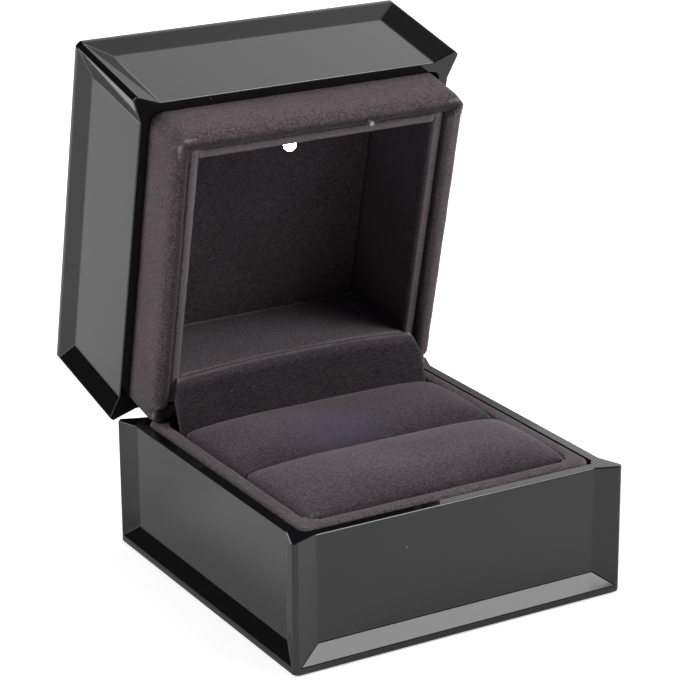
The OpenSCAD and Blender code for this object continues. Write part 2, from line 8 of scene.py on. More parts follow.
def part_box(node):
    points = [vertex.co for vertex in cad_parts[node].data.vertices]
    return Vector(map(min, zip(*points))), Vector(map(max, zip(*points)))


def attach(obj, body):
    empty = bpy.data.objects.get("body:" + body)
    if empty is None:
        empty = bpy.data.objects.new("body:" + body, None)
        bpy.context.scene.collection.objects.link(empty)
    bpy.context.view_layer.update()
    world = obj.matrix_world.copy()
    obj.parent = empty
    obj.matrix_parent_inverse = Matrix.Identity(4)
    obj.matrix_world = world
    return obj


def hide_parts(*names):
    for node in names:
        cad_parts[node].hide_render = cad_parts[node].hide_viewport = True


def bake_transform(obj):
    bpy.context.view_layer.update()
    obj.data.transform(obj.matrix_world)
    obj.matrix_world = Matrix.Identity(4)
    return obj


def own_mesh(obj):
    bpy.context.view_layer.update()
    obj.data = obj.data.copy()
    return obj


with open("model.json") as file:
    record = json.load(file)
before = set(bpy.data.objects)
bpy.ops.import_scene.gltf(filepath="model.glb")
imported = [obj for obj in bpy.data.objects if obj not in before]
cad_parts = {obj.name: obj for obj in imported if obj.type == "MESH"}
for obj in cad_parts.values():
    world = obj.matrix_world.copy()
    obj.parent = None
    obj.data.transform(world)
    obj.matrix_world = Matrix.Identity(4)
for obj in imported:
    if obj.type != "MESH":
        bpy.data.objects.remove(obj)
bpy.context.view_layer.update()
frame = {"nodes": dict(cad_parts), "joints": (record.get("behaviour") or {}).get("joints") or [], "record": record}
print("frame loaded:", len(frame["nodes"]), "parts")

mm = 0.001
tiny = 0.01 * mm  # points closer than this are one point
small = 0.1 * mm  # less than any height or wall of a piece
lidHinge = next(j for j in frame["joints"] if j["name"] == "lid_hinge")
flapFold = next(j for j in frame["joints"] if j["name"] == "flap_fold")
hingePoint = Vector(lidHinge["pos_m"])
foldPoint = Vector(flapFold["pos_m"])
openAngle = math.radians(lidHinge["range_deg"][1])
# The lid is modelled shut, then turned back to where it stands open
openLid = (Matrix.Translation(hingePoint) @ Matrix.Rotation(-openAngle, 4, "X")
           @ Matrix.Translation(-hingePoint))


def shutBox(node):
    # Lowest and highest corner of a lid part with the lid shut
    points = [openLid.inverted() @ v.co for v in frame["nodes"][node].data.vertices]
    low = Vector([min(p[i] for p in points) for i in range(3)])
    high = Vector([max(p[i] for p in points) for i in range(3)])
    return low, high


# Modelling helpers

def objectMode():
    bpy.ops.object.mode_set(mode="OBJECT")


def deselect():
    if bpy.context.object and bpy.context.object.mode != "OBJECT":
        objectMode()
    bpy.ops.object.select_all(action="DESELECT")


def activate(piece):
    deselect()
    piece.select_set(True)
    bpy.context.view_layer.objects.active = piece


def nameNew(name, scale=(1, 1, 1)):
    # The primitive that was just added, with its place and size put into its mesh
    piece = bpy.context.object
    piece.name = piece.data.name = name
    piece.scale = scale
    bpy.ops.object.transform_apply(location=True, rotation=True, scale=True)
    return piece


def addBlock(name, low, high):
    deselect()
    bpy.ops.mesh.primitive_cube_add(size=1, location=(low + high) / 2)
    return nameNew(name, high - low)


def upright(a, b):
    # True for the two ends of an edge that runs up
    return abs(a.z - b.z) > small


def clamp(value):
    return min(1.0, max(0.0, value))


def pick(piece, kind, test):
    # Goes into edit mode with the vertices, edges or faces that pass the test
    activate(piece)
    bpy.ops.object.mode_set(mode="EDIT")
    bpy.ops.mesh.select_mode(type=kind)
    bpy.ops.mesh.select_all(action="DESELECT")
    objectMode()
    mesh = piece.data
    if kind == "VERT":
        for vertex in mesh.vertices:
            vertex.select = test(vertex.co)
    elif kind == "EDGE":
        for edge in mesh.edges:
            edge.select = test(*(mesh.vertices[i].co for i in edge.vertices))
    else:
        for face in mesh.polygons:
            face.select = test(face.center, face.normal)
    bpy.ops.object.mode_set(mode="EDIT")


def roundEdges(radius, steps):
    # Bevels the picked edges
    bpy.ops.mesh.bevel(offset=radius, segments=steps, affect="EDGES")


def selectAll(piece):
    activate(piece)
    bpy.ops.object.mode_set(mode="EDIT")
    bpy.ops.mesh.select_all(action="SELECT")


def modify(piece, kind, **settings):
    activate(piece)
    modifier = piece.modifiers.new(kind, kind)
    for key, value in settings.items():
        setattr(modifier, key, value)
    bpy.ops.object.modifier_apply(modifier=modifier.name)


def place(piece, matrix):
    piece.data.transform(matrix)
    piece.data.update()


def smooth(piece, angle=None):
    activate(piece)
    if angle is None:
        bpy.ops.object.shade_smooth()
    else:
        bpy.ops.object.shade_smooth_by_angle(angle=math.radians(angle))


def weaveMesh(piece, voxel, rounds):
    # An even mesh that takes fine moves
    modify(piece, "REMESH", mode="VOXEL", voxel_size=voxel)
    modify(piece, "SMOOTH", factor=0.5, iterations=rounds)


def moveVertices(piece, rule):
    # Sculpt-like move: rule gives each vertex its new place from its place and normal
    mesh = piece.data
    moved = [rule(v.co.copy(), v.normal.copy()) for v in mesh.vertices]
    for vertex, co in zip(mesh.vertices, moved):
        vertex.co = co
    mesh.update()


def softRule(amount, scale, seed):
    # Padding is never quite even
    offset = Vector((seed, seed * 0.7, -seed))
    return lambda co, normal: co + normal * amount * noise.noise(co * scale + offset)


def paintWearAndShading(piece, gain, extra=None, rounds=3):
    # Lighter on convex edges, as worn nap and as painted highlight, with painted shade in creases: 0.5 is a flat
    # surface
    mesh = piece.data
    count = len(mesh.vertices)
    co = np.empty(count * 3)
    normal = np.empty(count * 3)
    mesh.vertices.foreach_get("co", co)
    mesh.vertices.foreach_get("normal", normal)
    co, normal = co.reshape(-1, 3), normal.reshape(-1, 3)
    ends = np.empty(len(mesh.edges) * 2, int)
    mesh.edges.foreach_get("vertices", ends)
    a, b = ends.reshape(-1, 2).T
    degree = np.bincount(ends, minlength=count).astype(float)
    degree[degree == 0] = 1
    span = np.linalg.norm(co[a] - co[b], axis=1).mean()

    def neighbourMean(values):
        total = np.zeros_like(values)
        np.add.at(total, a, values[b])
        np.add.at(total, b, values[a])
        return total / (degree[:, None] if values.ndim > 1 else degree)

    wearAndShading = ((co - neighbourMean(co)) * normal).sum(1) / span
    for _ in range(rounds):
        wearAndShading = 0.5 * wearAndShading + 0.5 * neighbourMean(wearAndShading)
    values = 0.5 + gain * wearAndShading
    if extra:
        values += np.array([extra(Vector(point)) for point in co])
    values = np.clip(values, 0, 1).astype(np.float32)
    attribute = mesh.attributes.new("wearAndShading", "FLOAT", "POINT")
    attribute.data.foreach_set("value", values)


# Material helpers

def newMaterial(name):
    material = bpy.data.materials.new(name)
    material.use_nodes = True
    return material, material.node_tree, material.node_tree.nodes["Principled BSDF"]


def addNode(tree, kind, links=None, **settings):
    # links: input name or number -> a socket to link from, or a value to set
    node = tree.nodes.new(kind)
    for key, value in settings.items():
        setattr(node, key, value)
    for key, value in (links or {}).items():
        if isinstance(value, bpy.types.NodeSocket):
            tree.links.new(value, node.inputs[key])
        else:
            node.inputs[key].default_value = value
    return node


def newGroup(name, inputs, outputs):
    tree = bpy.data.node_groups.new(name, "ShaderNodeTree")
    for label, kind, value in inputs:
        socket = tree.interface.new_socket(label, in_out="INPUT", socket_type=kind)
        if value is not None:
            socket.default_value = value
    for label, kind in outputs:
        tree.interface.new_socket(label, in_out="OUTPUT", socket_type=kind)
    return tree, tree.nodes.new("NodeGroupInput").outputs, tree.nodes.new("NodeGroupOutput").inputs


def fillGroup(tree, group, links):
    return addNode(tree, "ShaderNodeGroup", links, node_tree=group).outputs


def noiseAt(tree, vector, scale, detail=2.0, roughness=0.5):
    return addNode(tree, "ShaderNodeTexNoise", {"Vector": vector, "Scale": scale,
                   "Detail": detail, "Roughness": roughness}).outputs["Fac"]


def remap(tree, value, low, high, toLow=0.0, toHigh=1.0):
    return addNode(tree, "ShaderNodeMapRange", {"Value": value, "From Min": low, "From Max": high,
                   "To Min": toLow, "To Max": toHigh}).outputs["Result"]


def maths(tree, operation, a, b):
    return addNode(tree, "ShaderNodeMath", {0: a, 1: b}, operation=operation).outputs[0]


def times(tree, value, factor):
    return maths(tree, "MULTIPLY", value, factor)


def plus(tree, a, b):
    return maths(tree, "ADD", a, b)


def softStep(tree, value, low, high, level):
    # Rises smoothly from 0 at low to level at high
    return addNode(tree, "ShaderNodeMapRange", {"Value": value, "From Min": low, "From Max": high,
                   "To Min": 0.0, "To Max": level},
                   interpolation_type="SMOOTHSTEP").outputs["Result"]


def mixColour(tree, factor, a, b, blend="MIX"):
    # Inputs 6 and 7 and output 2 are the colour sockets of this node
    return addNode(tree, "ShaderNodeMix", {0: factor, 6: a, 7: b}, data_type="RGBA",
                   blend_type=blend).outputs[2]


# Surface effects that several materials share

# Ranges are (from low, from high) or (from low, from high, to low, to high)
# and the noises are (detail, roughness)
napDetail = dict(fibreNoise=(3.0, 0.6), combTurn=(0.5, 0.4, 0.7), combStretch=(0.35, 1.0, 0.6),
                 fibreShare=0.6, strandShare=0.4, shade=(0.36, 0.64), patchNoise=(3.0, 0.55),
                 lie=(0.3, 0.7, 0.88, 1.12), patchHeight=0.8, edgeFibre=0.35, edge=(0.78, 1.12),
                 creaseShade=(0.12, 0.46, 0.45, 1.0), lintScale=900.0, lintNoise=(1.0, 0.4),
                 lint=(0.74, 0.78), lintAmount=0.14)


def buildNapGroup():
    # Short brushed nap: fibres, patches that lie another way, lint, edges lighter as worn nap and as painted
    # highlight, and painted shade in creases
    detail = napDetail
    tree, given, out = newGroup(
        "napEffect",
        [("Vector", "NodeSocketVector", None), ("WearAndShading", "NodeSocketFloat", 0.5),
         ("Nap", "NodeSocketColor", (0.1, 0.09, 0.1, 1)),
         ("Deep", "NodeSocketColor", (0.03, 0.025, 0.03, 1)),
         ("Worn", "NodeSocketColor", (0.3, 0.27, 0.28, 1)),
         ("Fibre Scale", "NodeSocketFloat", 4200.0), ("Patch Scale", "NodeSocketFloat", 130.0)],
        [("Color", "NodeSocketColor"), ("Height", "NodeSocketFloat")])
    fibre = noiseAt(tree, given["Vector"], given["Fibre Scale"], *detail["fibreNoise"])
    combed = addNode(tree, "ShaderNodeMapping", {"Vector": given["Vector"], "Rotation":
                     detail["combTurn"], "Scale": detail["combStretch"]}).outputs[0]
    strand = noiseAt(tree, combed, given["Fibre Scale"])
    patch = noiseAt(tree, given["Vector"], given["Patch Scale"], *detail["patchNoise"])
    lint = noiseAt(tree, given["Vector"], detail["lintScale"], *detail["lintNoise"])
    grain = plus(tree, times(tree, fibre, detail["fibreShare"]),
                 times(tree, strand, detail["strandShare"]))
    shade = remap(tree, grain, *detail["shade"])
    base = mixColour(tree, shade, given["Deep"], given["Nap"])
    lie = remap(tree, patch, *detail["lie"])
    brushed = mixColour(tree, 1.0, base, lie, "MULTIPLY")
    # Edges lighter from the attribute: worn nap and painted highlight
    edge = remap(tree, plus(tree, given["WearAndShading"], times(tree, fibre, detail["edgeFibre"])),
                 *detail["edge"])
    worn = mixColour(tree, edge, brushed, given["Worn"])
    # Painted shade: darker where the attribute is low, in creases and where pieces add painted shade
    creaseShade = remap(tree, given["WearAndShading"], *detail["creaseShade"])
    shaded = mixColour(tree, 1.0, worn, creaseShade, "MULTIPLY")
    speck = times(tree, remap(tree, lint, *detail["lint"]), detail["lintAmount"])
    tree.links.new(mixColour(tree, speck, shaded, given["Worn"]), out["Color"])
    rise = plus(tree, grain, times(tree, patch, detail["patchHeight"]))
    tree.links.new(rise, out["Height"])
    return tree


dustDetail = dict(cellScale=260.0, mote=(0.035, 0.02), choiceScale=190.0, chosen=(0.62, 0.66),
                  wipeTurn=(0.2, 0.3, 0.5), wipeStretch=(1.0, 0.12, 1.0), wipeScale=260.0,
                  wipeNoise=(4.0, 0.65), haze=(0.45, 0.8, 0.0, 0.05), moteRoughness=0.5)


def buildDustGroup():
    # A polished surface in use: sparse dust, faint wipe marks, a slight waviness
    detail = dustDetail
    tree, given, out = newGroup(
        "dustEffect",
        [("Vector", "NodeSocketVector", None), ("Base", "NodeSocketColor", (0.01, 0.01, 0.01, 1)),
         ("Dust", "NodeSocketColor", (0.5, 0.5, 0.5, 1)), ("Polish", "NodeSocketFloat", 0.04),
         ("Wave Scale", "NodeSocketFloat", 70.0)],
        [("Color", "NodeSocketColor"), ("Roughness", "NodeSocketFloat"),
         ("Height", "NodeSocketFloat")])
    cell = addNode(tree, "ShaderNodeTexVoronoi", {"Vector": given["Vector"],
                   "Scale": detail["cellScale"], "Randomness": 1.0})
    near = remap(tree, cell.outputs["Distance"], *detail["mote"])
    choice = noiseAt(tree, given["Vector"], detail["choiceScale"], 1.0)
    mote = times(tree, near, remap(tree, choice, *detail["chosen"]))
    tree.links.new(mixColour(tree, mote, given["Base"], given["Dust"]), out["Color"])
    wiped = addNode(tree, "ShaderNodeMapping", {"Vector": given["Vector"], "Rotation":
                    detail["wipeTurn"], "Scale": detail["wipeStretch"]}).outputs[0]
    wipe = noiseAt(tree, wiped, detail["wipeScale"], *detail["wipeNoise"])
    haze = remap(tree, wipe, *detail["haze"])
    tree.links.new(plus(tree, plus(tree, given["Polish"], haze),
                        times(tree, mote, detail["moteRoughness"])), out["Roughness"])
    tree.links.new(noiseAt(tree, given["Vector"], given["Wave Scale"], 1.0), out["Height"])
    return tree


grainDetail = dict(grainNoise=(4.0, 0.6), grainShare=0.65, stainShare=0.35, stainScale=180.0,
                   tone=(0.35, 0.65), bumpStrength=0.6)


def buildGrainGroup():
    # Fine directional grain with stains, for brushed metal, board and moulded plastic
    detail = grainDetail
    tree, given, out = newGroup(
        "grainEffect",
        [("Vector", "NodeSocketVector", None), ("Light", "NodeSocketColor", (0.6, 0.6, 0.6, 1)),
         ("Dark", "NodeSocketColor", (0.4, 0.4, 0.4, 1)), ("Scale", "NodeSocketFloat", 900.0),
         ("Stretch", "NodeSocketVector", (0.05, 1.0, 1.0)),
         ("Rough Low", "NodeSocketFloat", 0.3), ("Rough High", "NodeSocketFloat", 0.45)],
        [("Color", "NodeSocketColor"), ("Roughness", "NodeSocketFloat"),
         ("Height", "NodeSocketFloat")])
    scaled = addNode(tree, "ShaderNodeVectorMath", {0: given["Vector"], 1: given["Stretch"]},
                     operation="MULTIPLY").outputs[0]
    grain = noiseAt(tree, scaled, given["Scale"], *detail["grainNoise"])
    stain = noiseAt(tree, given["Vector"], detail["stainScale"], 3.0)
    tone = plus(tree, times(tree, grain, detail["grainShare"]),
                times(tree, stain, detail["stainShare"]))
    shade = remap(tree, tone, *detail["tone"])
    tree.links.new(mixColour(tree, shade, given["Dark"], given["Light"]), out["Color"])
    rough = remap(tree, tone, *detail["tone"], given["Rough High"], given["Rough Low"])
    tree.links.new(rough, out["Roughness"])
    tree.links.new(grain, out["Height"])
    return tree


napEffect = buildNapGroup()
dustEffect = buildDustGroup()
grainEffect = buildGrainGroup()


def objectSpace(tree):
    return addNode(tree, "ShaderNodeTexCoord").outputs["Object"]


def addBump(tree, shader, height, distance, strength=1.0):
    bump = addNode(tree, "ShaderNodeBump", {"Height": height, "Strength": strength,
                   "Distance": distance})
    tree.links.new(bump.outputs["Normal"], shader.inputs["Normal"])


# Materials

suedeLook = dict(nap=(0.102, 0.084, 0.095), deep=(0.029, 0.023, 0.028),
                 worn=(0.17, 0.146, 0.152), fibreScale=3100.0, patchScale=60.0,
                 bump=0.12 * mm, bumpStrength=0.9, roughness=0.95, shine=0.15, sheen=0.22,
                 sheenTint=(0.5, 0.44, 0.46), sheenRoughness=0.4,
                 clothSize=(0.06, 0.035, 1.0))  # metres that the cloth's UV map spans


def suedeMaterial(name, look, followsCloth=False, glow=None):
    material, tree, shader = newMaterial(name)
    if followsCloth:
        cloth = addNode(tree, "ShaderNodeUVMap", uv_map="UVMap").outputs[0]
        vector = addNode(tree, "ShaderNodeMapping", {"Vector": cloth,
                         "Scale": look["clothSize"]}).outputs[0]
    else:
        vector = objectSpace(tree)
    # The attribute holds worn nap together with painted highlight and painted shade
    wearAndShading = addNode(tree, "ShaderNodeAttribute", attribute_name="wearAndShading").outputs["Fac"]
    nap = fillGroup(tree, napEffect, {
        "Vector": vector, "WearAndShading": wearAndShading, "Nap": (*look["nap"], 1), "Deep": (*look["deep"], 1),
        "Worn": (*look["worn"], 1), "Fibre Scale": look["fibreScale"],
        "Patch Scale": look["patchScale"]})
    colour = nap["Color"]
    # Painted light: a faint violet pool of the lamp's light painted into the colour
    if glow:
        away = addNode(tree, "ShaderNodeVectorMath", {0: vector, 1: glow["centre"]},
                       operation="DISTANCE").outputs["Value"]
        lit = softStep(tree, away, glow["radius"], 0.0, glow["amount"])
        colour = mixColour(tree, lit, colour, (*glow["tint"], 1))
    tree.links.new(colour, shader.inputs["Base Color"])
    shader.inputs["Roughness"].default_value = look["roughness"]
    shader.inputs["Specular IOR Level"].default_value = look["shine"]
    shader.inputs["Sheen Weight"].default_value = look["sheen"]
    shader.inputs["Sheen Roughness"].default_value = look["sheenRoughness"]
    shader.inputs["Sheen Tint"].default_value = (*look["sheenTint"], 1)
    addBump(tree, shader, nap["Height"], look["bump"], look["bumpStrength"])
    return material


lacquerLook = dict(base=(0.0035, 0.0035, 0.004), dust=(0.35, 0.35, 0.36), polish=0.03,
                   waveScale=55.0, wave=0.012 * mm, ior=1.52)


def lacquerMaterial():
    look = lacquerLook
    material, tree, shader = newMaterial("pianoLacquer")
    dust = fillGroup(tree, dustEffect, {
        "Vector": objectSpace(tree), "Base": (*look["base"], 1), "Dust": (*look["dust"], 1),
        "Polish": look["polish"], "Wave Scale": look["waveScale"]})
    tree.links.new(dust["Color"], shader.inputs["Base Color"])
    tree.links.new(dust["Roughness"], shader.inputs["Roughness"])
    shader.inputs["IOR"].default_value = look["ior"]
    addBump(tree, shader, dust["Height"], look["wave"])
    return material


def grainMaterial(name, light, dark, rough, scale=900.0, stretch=(0.05, 1.0, 1.0), metallic=0.0,
                  bump=0.01 * mm):
    material, tree, shader = newMaterial(name)
    grain = fillGroup(tree, grainEffect, {
        "Vector": objectSpace(tree), "Light": (*light, 1), "Dark": (*dark, 1), "Scale": scale,
        "Stretch": stretch, "Rough Low": rough[0], "Rough High": rough[1]})
    tree.links.new(grain["Color"], shader.inputs["Base Color"])
    tree.links.new(grain["Roughness"], shader.inputs["Roughness"])
    shader.inputs["Metallic"].default_value = metallic
    addBump(tree, shader, grain["Height"], bump, grainDetail["bumpStrength"])
    return material


lampLook = dict(base=(0.9, 0.93, 1.0), dust=(0.6, 0.6, 0.62), polish=0.08, waveScale=900.0,
                glow=(0.55, 0.5, 1.0), glowTone=(0.3, 0.7), power=30.0)


def lampMaterial():
    look = lampLook
    material, tree, shader = newMaterial("litLens")
    dust = fillGroup(tree, dustEffect, {
        "Vector": objectSpace(tree), "Base": (*look["base"], 1), "Dust": (*look["dust"], 1),
        "Polish": look["polish"], "Wave Scale": look["waveScale"]})
    tree.links.new(dust["Color"], shader.inputs["Base Color"])
    tree.links.new(dust["Roughness"], shader.inputs["Roughness"])
    whiteness = remap(tree, dust["Height"], *look["glowTone"])
    tint = mixColour(tree, whiteness, (*look["glow"], 1), (1, 1, 1, 1))
    tree.links.new(tint, shader.inputs["Emission Color"])
    shader.inputs["Emission Strength"].default_value = look["power"]
    return material


evenly = (1.0, 1.0, 1.0)  # stretch of a grain without direction
warmLook = dict(suedeLook, nap=(0.107, 0.084, 0.093), deep=(0.032, 0.024, 0.027))
# Painted shade: a darker copy of the suede, with less sheen, for the lining cards inside the lid
shadeLook = dict(suedeLook, nap=(0.067, 0.056, 0.062), deep=(0.025, 0.02, 0.022), sheen=0.1)
# Painted shade: a darker copy of the suede for the rear roll
rearShadeLook = dict(suedeLook, nap=(0.081, 0.066, 0.079), deep=(0.022, 0.017, 0.021))
# Painted light: the lamp's faint violet light painted into the colour of the rolls below it
paintedLampGlow = dict(centre=(-5 * mm, 1 * mm, 31 * mm), radius=16 * mm, amount=0.42,
                tint=(0.058, 0.046, 0.084))
frontSuede = suedeMaterial("frontRollSuede", suedeLook, glow=paintedLampGlow)
rearShadedSuede = suedeMaterial("rearRollShadedSuede", rearShadeLook, glow=paintedLampGlow)
suede = suedeMaterial("greySuede", suedeLook)
warmSuede = suedeMaterial("warmGreySuede", warmLook)
shadedSuede = suedeMaterial("shadedSuede", shadeLook)
# Its lighter worn colour brightens the fold, partly as painted highlight
sheetLook = dict(suedeLook, nap=(0.082, 0.068, 0.076), deep=(0.023, 0.018, 0.022),
                 worn=(0.3, 0.26, 0.27), fibreScale=2700.0)
suedeSheet = suedeMaterial("suedeSheet", sheetLook, followsCloth=True)
lacquer = lacquerMaterial()
lamp = lampMaterial()
hingeSteel = grainMaterial("platedSteel", (0.66, 0.66, 0.68), (0.46, 0.46, 0.48), (0.25, 0.4),
                           metallic=1.0)
springSteel = grainMaterial("bluedSteel", (0.4, 0.41, 0.45), (0.25, 0.26, 0.3), (0.3, 0.45),
                            metallic=1.0)
cellSteel = grainMaterial("nickelPlate", (0.75, 0.75, 0.76), (0.6, 0.6, 0.6), (0.15, 0.28),
                          stretch=evenly, metallic=1.0)
brass = grainMaterial("springBrass", (0.76, 0.58, 0.28), (0.6, 0.42, 0.18), (0.25, 0.4),
                      metallic=1.0)
blackPlastic = grainMaterial("mouldedPlastic", (0.04, 0.038, 0.04), (0.025, 0.024, 0.026),
                             (0.45, 0.6), scale=2600.0, stretch=evenly)
boardPlastic = grainMaterial("circuitBoard", (0.03, 0.14, 0.07), (0.02, 0.08, 0.045),
                             (0.35, 0.5), scale=1500.0, stretch=evenly)
phosphor = grainMaterial("diodePhosphor", (0.9, 0.82, 0.45), (0.8, 0.7, 0.3), (0.35, 0.5),
                         scale=2400.0, stretch=evenly)
greyCard = grainMaterial("greyBoard", (0.46, 0.42, 0.37), (0.34, 0.31, 0.27), (0.8, 0.92),
                         scale=1400.0, stretch=evenly, bump=0.04 * mm)
darkFoam = grainMaterial("denseFoam", (0.075, 0.075, 0.08), (0.03, 0.03, 0.033), (0.85, 0.96),
                         scale=2200.0, stretch=evenly, bump=0.15 * mm)
feltLook = dict(suedeLook, nap=(0.03, 0.03, 0.032), deep=(0.008, 0.008, 0.009),
                worn=(0.09, 0.09, 0.095), fibreScale=2600.0, bump=0.2 * mm, sheen=0.25,
                sheenTint=(0.3, 0.3, 0.32))
blackFelt = suedeMaterial("blackFelt", feltLook)

finishOf = {
    "lacquer": lacquer, "felt": blackFelt, "suede": suede, "foam": darkFoam, "card": greyCard,
    "hinge_steel": hingeSteel, "spring_steel": springSteel, "light_plastic": blackPlastic,
    "circuit_board": boardPlastic, "diode": phosphor, "lens": lamp, "cell_steel": cellSteel,
    "contact_brass": brass}


def dress(piece, material):
    piece.data.materials.clear()
    piece.data.materials.append(material)


for part in frame["record"]["subparts"]:
    dress(frame["nodes"][part["node"]], finishOf[part["material_slot"]])
dress(frame["nodes"]["switch_plunger"], springSteel)
print("materials made:", len(bpy.data.materials))


# Lacquered shells and the felt under the base

shellForm = dict(recess=1.9 * mm, flareWidth=6 * mm, flareHeight=5 * mm, edgeBand=1.3 * mm,
                 facet=0.9 * mm, wall=2.4 * mm, floor=2.4 * mm, cavityRadius=1.5 * mm,
                 cavitySteps=6, flatAngle=0.5, edgeRound=0.3 * mm, edgeSteps=4, edgeAngle=12)


def carve(piece, low, high, radius):
    # Cuts a pocket with rounded upright corners
    cutter = addBlock("cutter", low, high)
    pick(cutter, "EDGE", upright)
    roundEdges(radius, shellForm["cavitySteps"])
    deselect()
    modify(piece, "BOOLEAN", operation="DIFFERENCE", object=cutter, solver="EXACT")
    bpy.data.objects.remove(cutter)


def caseShell(name, low, high, feltBox=None):
    # A case standing on its closed side, with four tray-shaped sides
    form = shellForm
    piece = addBlock(name, low, high)
    pick(piece, "EDGE", upright)
    roundEdges(form["facet"], 1)
    half = high.x
    inner = half - form["flareWidth"]
    outer = half - form["facet"]
    bandTop = low.z + form["edgeBand"]
    flareTop = low.z + form["flareHeight"]
    cuts = [(axis, side * inner) for axis in "xy" for side in (-1, 1)]
    cuts += [("z", bandTop), ("z", flareTop)]
    for axis, at in cuts:
        normal = Vector([axis == a for a in "xyz"])
        bpy.ops.mesh.select_all(action="SELECT")
        bpy.ops.mesh.bisect(plane_co=normal * at, plane_no=normal)
    for turn in range(4):
        out = Matrix.Rotation(math.radians(90 * turn), 3, "Z") @ Vector((0, -1, 0))
        along = Vector((-out.y, out.x, 0))
        pick(piece, "VERT", lambda co: co.dot(out) > half - tiny
             and abs(co.dot(along)) < inner + tiny and co.z > flareTop - tiny)
        bpy.ops.transform.translate(value=-out * form["recess"])
        for side in (-1, 1):
            # The flare's sloping edge, from the panel's corner to the case's corner
            panelEnd = out * (half - form["recess"]) + along * side * inner
            caseEnd = out * half + along * side * outer
            ends = [panelEnd + Vector((0, 0, flareTop)), caseEnd + Vector((0, 0, bandTop))]
            pick(piece, "VERT", lambda co: min((co - end).length for end in ends) < tiny)
            bpy.ops.mesh.vert_connect()
    reach = half - form["recess"] - form["wall"]
    carve(piece, Vector((-reach, -reach, low.z + form["floor"])),
          Vector((reach, reach, high.z + mm)), form["cavityRadius"])
    if feltBox:
        carve(piece, *feltBox)
    selectAll(piece)
    bpy.ops.mesh.dissolve_limited(angle_limit=math.radians(form["flatAngle"]))
    objectMode()
    smooth(piece)
    modify(piece, "BEVEL", width=form["edgeRound"], segments=form["edgeSteps"],
           limit_method="ANGLE", angle_limit=math.radians(form["edgeAngle"]),
           harden_normals=True, use_clamp_overlap=False)
    dress(piece, lacquer)
    return piece


feltForm = dict(margin=0.1 * mm, corner=2.2 * mm, cornerSteps=5, edge=0.35 * mm, edgeSteps=2,
                voxel=0.4 * mm, uneven=0.08 * mm, unevenScale=1400, unevenStart=(5.0, 3.0, 9.0),
                wearAndShadingGain=1.0, pocketRadius=2.4 * mm)
feltLow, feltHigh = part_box("base_felt_pad")
grow = Vector((feltForm["margin"], feltForm["margin"], 0))
baseLow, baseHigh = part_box("base_shell")
baseShell = caseShell("baseShell", baseLow, baseHigh, (feltLow - grow - Vector((0, 0, mm)),
                                                       feltHigh + grow, feltForm["pocketRadius"]))
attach(baseShell, "base")
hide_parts("base_shell")


def feltPad(form):
    # Pressed felt with cut corners and slightly ragged edges
    piece = addBlock("baseFelt", feltLow, feltHigh)
    pick(piece, "EDGE", upright)
    roundEdges(form["corner"], form["cornerSteps"])
    pick(piece, "FACE", lambda centre, normal: normal.z < -0.9)
    roundEdges(form["edge"], form["edgeSteps"])
    objectMode()
    modify(piece, "REMESH", mode="VOXEL", voxel_size=form["voxel"])
    offset = Vector(form["unevenStart"])
    moveVertices(piece, lambda co, normal: co - normal * form["uneven"]
                 * abs(noise.noise(co * form["unevenScale"] + offset)))
    paintWearAndShading(piece, form["wearAndShadingGain"])
    smooth(piece)
    dress(piece, blackFelt)
    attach(piece, "base")
    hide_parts("base_felt_pad")


feltPad(feltForm)

lidLow, lidHigh = shutBox("lid_shell")
# Made standing on its closed side like the base, then turned over
lidShell = caseShell("lidShell", Vector((lidLow.x, lidLow.y, 0)),
                     Vector((lidHigh.x, lidHigh.y, lidHigh.z - lidLow.z)))
turnOver = Matrix.Translation((0, 0, lidHigh.z)) @ Matrix.Rotation(math.pi, 4, "X")
place(lidShell, openLid @ turnOver)
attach(lidShell, "lid")
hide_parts("lid_shell")
print("shells done")


# Suede pieces

def suedeFinish(piece, body, nodes, material, gain=2.5, extraWearAndShading=None):
    paintWearAndShading(piece, gain, extraWearAndShading)
    smooth(piece)
    dress(piece, material)
    if body:
        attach(piece, body)
    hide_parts(*nodes)


def addBand(name, low, high, form):
    # A square ring with rounded corners
    piece = addBlock(name, low, high)
    for side in (-1, 1):
        pick(piece, "FACE", lambda centre, normal: normal.z * side > 0.9)
        bpy.ops.mesh.inset(thickness=form["wall"])
        bpy.ops.mesh.delete(type="FACE")
    inner = high.x - form["wall"] + small
    inside = lambda co: max(abs(co.x), abs(co.y)) < inner
    pick(piece, "EDGE", lambda a, b: inside(a) and inside(b))
    bpy.ops.mesh.bridge_edge_loops()
    pick(piece, "EDGE", lambda a, b: upright(a, b) and not inside(a))
    roundEdges(form["corner"], form["cornerSteps"])
    pick(piece, "EDGE", lambda a, b: upright(a, b) and inside(a) and inside(b))
    roundEdges(form["innerCorner"], form["innerSteps"])
    return piece


def roundRim(piece, z, middle, form):
    # Rounds the outer and the inner edge of a ring's flat rim
    flat = lambda a, b: abs(a.z - z) < tiny and abs(b.z - z) < tiny
    inside = lambda co: max(abs(co.x), abs(co.y)) < middle
    for inner, radius in ((False, form["outerRound"]), (True, form["innerRound"])):
        pick(piece, "EDGE", lambda a, b: flat(a, b) and inside(a) == inside(b) == inner)
        roundEdges(radius, form["rimSteps"])
    objectMode()


frameForm = dict(wall=3.2 * mm, corner=2.4 * mm, cornerSteps=6, innerCorner=1.1 * mm,
                 innerSteps=3, outerRound=0.9 * mm, innerRound=0.9 * mm, rimSteps=4,
                 voxel=0.4 * mm, smoothing=2, uneven=0.06 * mm, unevenScale=260,
                 shown=9 * mm)
frameLow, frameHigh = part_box("base_frame")
